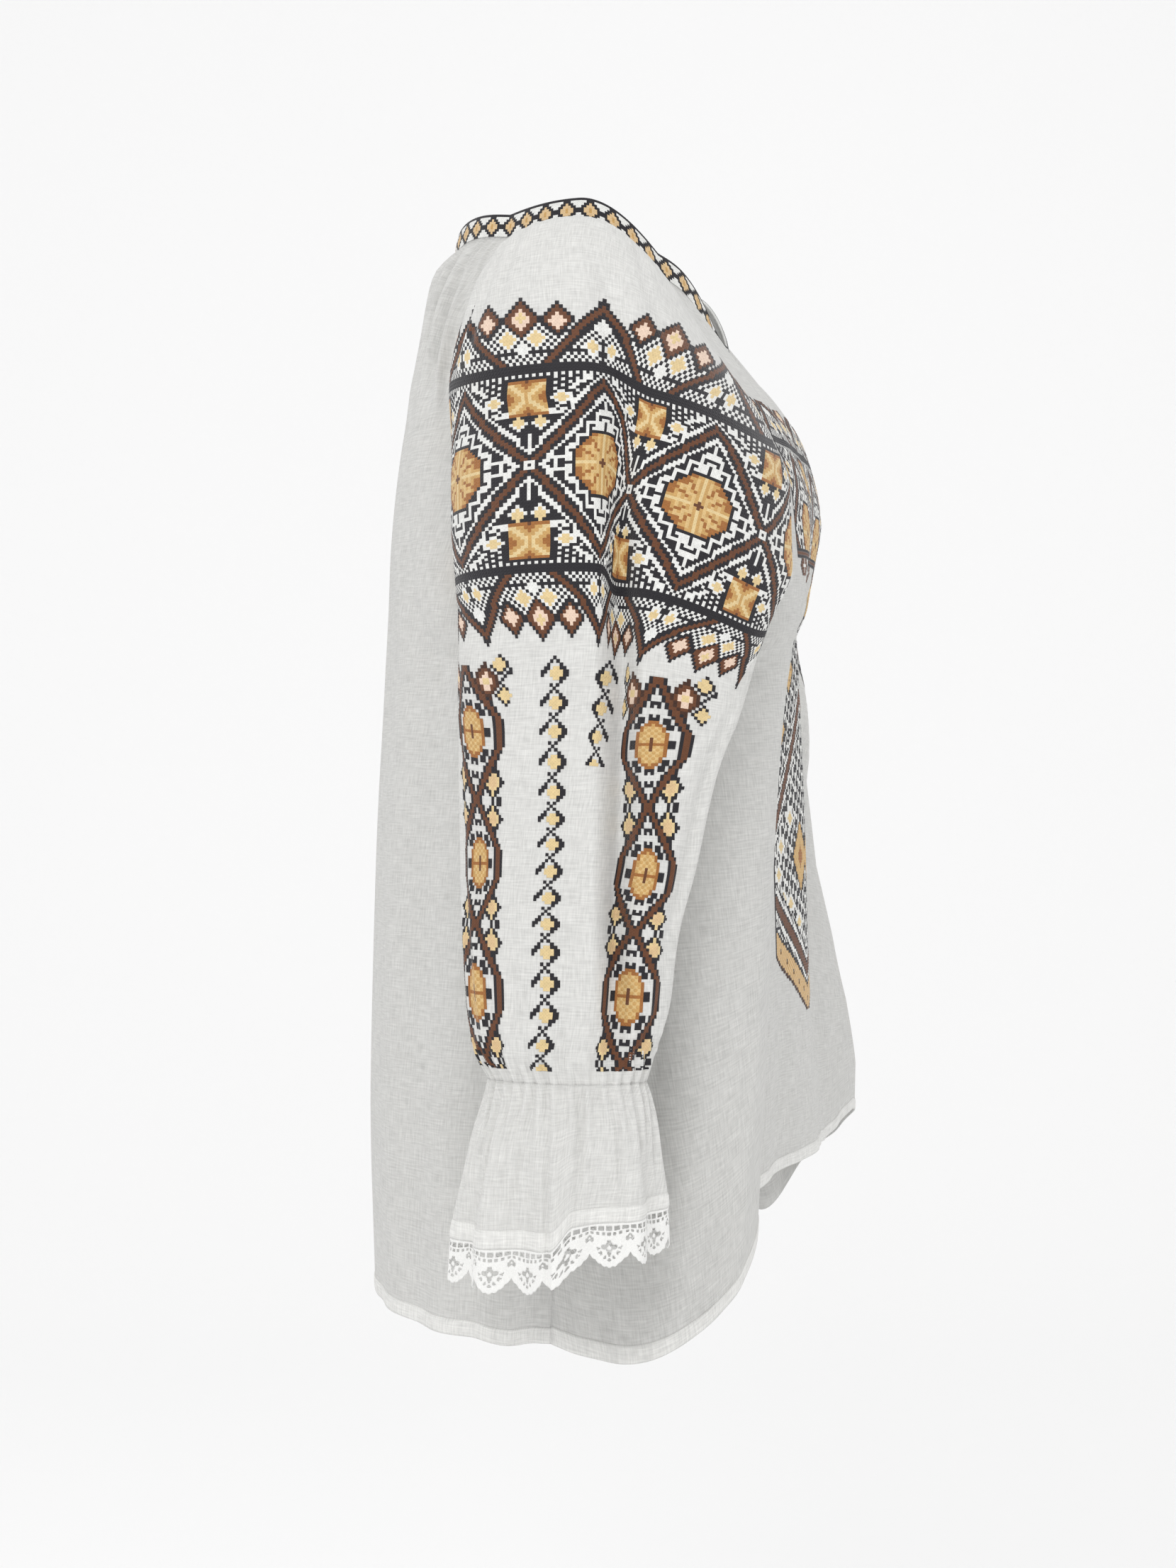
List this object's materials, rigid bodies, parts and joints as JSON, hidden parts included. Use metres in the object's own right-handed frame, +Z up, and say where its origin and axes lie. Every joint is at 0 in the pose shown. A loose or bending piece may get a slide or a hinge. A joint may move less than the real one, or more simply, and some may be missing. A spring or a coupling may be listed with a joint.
{
  "type": "embroidered peasant blouse",
  "caption": "Worn-shape cotton peasant blouse with gathered neckband, full raglan sleeves, cuff ruffles and lace; hollow, open at neck, hem and cuffs.",
  "frame": {"origin": "middle of the neck opening, level with the top of the shoulders, where the wearer carries the blouse", "axes": "+Z up, -Y towards the front, +X towards the wearer's left"},
  "size_m": [0.6321, 0.3004, 0.7188],
  "materials": {
    "cotton": "plain off-white cotton muslin",
    "band": "cross-stitched cotton band",
    "lace": "white cotton lace"
  },
  "bodies": {
    "root": {"front_panel": "cotton", "back_panel": "cotton", "neckband": "band", "right_sleeve": "cotton", "left_sleeve": "cotton", "right_ruffle": "cotton", "left_ruffle": "cotton", "right_lace_front": "lace", "right_lace_back": "lace", "left_lace_front": "lace", "left_lace_back": "lace"}
  },
  "joints": []
}
